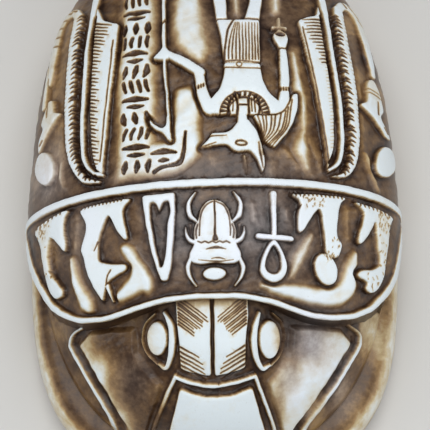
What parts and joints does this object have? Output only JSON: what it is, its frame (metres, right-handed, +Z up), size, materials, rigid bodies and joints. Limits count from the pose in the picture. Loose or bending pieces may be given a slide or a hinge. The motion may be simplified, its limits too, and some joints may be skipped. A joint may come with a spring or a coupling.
{
  "type": "scarab amulet",
  "caption": "Domed stone beetle on a low oval base, its back and thorax carved in low relief with a standing jackal-headed figure, feathers and small seated figures.",
  "frame": {"origin": "centre of the flat underside", "axes": "+Z up out of the back, +Y toward the beetle's tail, X across the back"},
  "size_m": [0.0676, 0.099, 0.038],
  "materials": {
    "carved_stone": "polished ivory-coloured stone with dark brown dirt in the recesses"
  },
  "bodies": {
    "root": {"scarab": "carved_stone"}
  },
  "joints": []
}
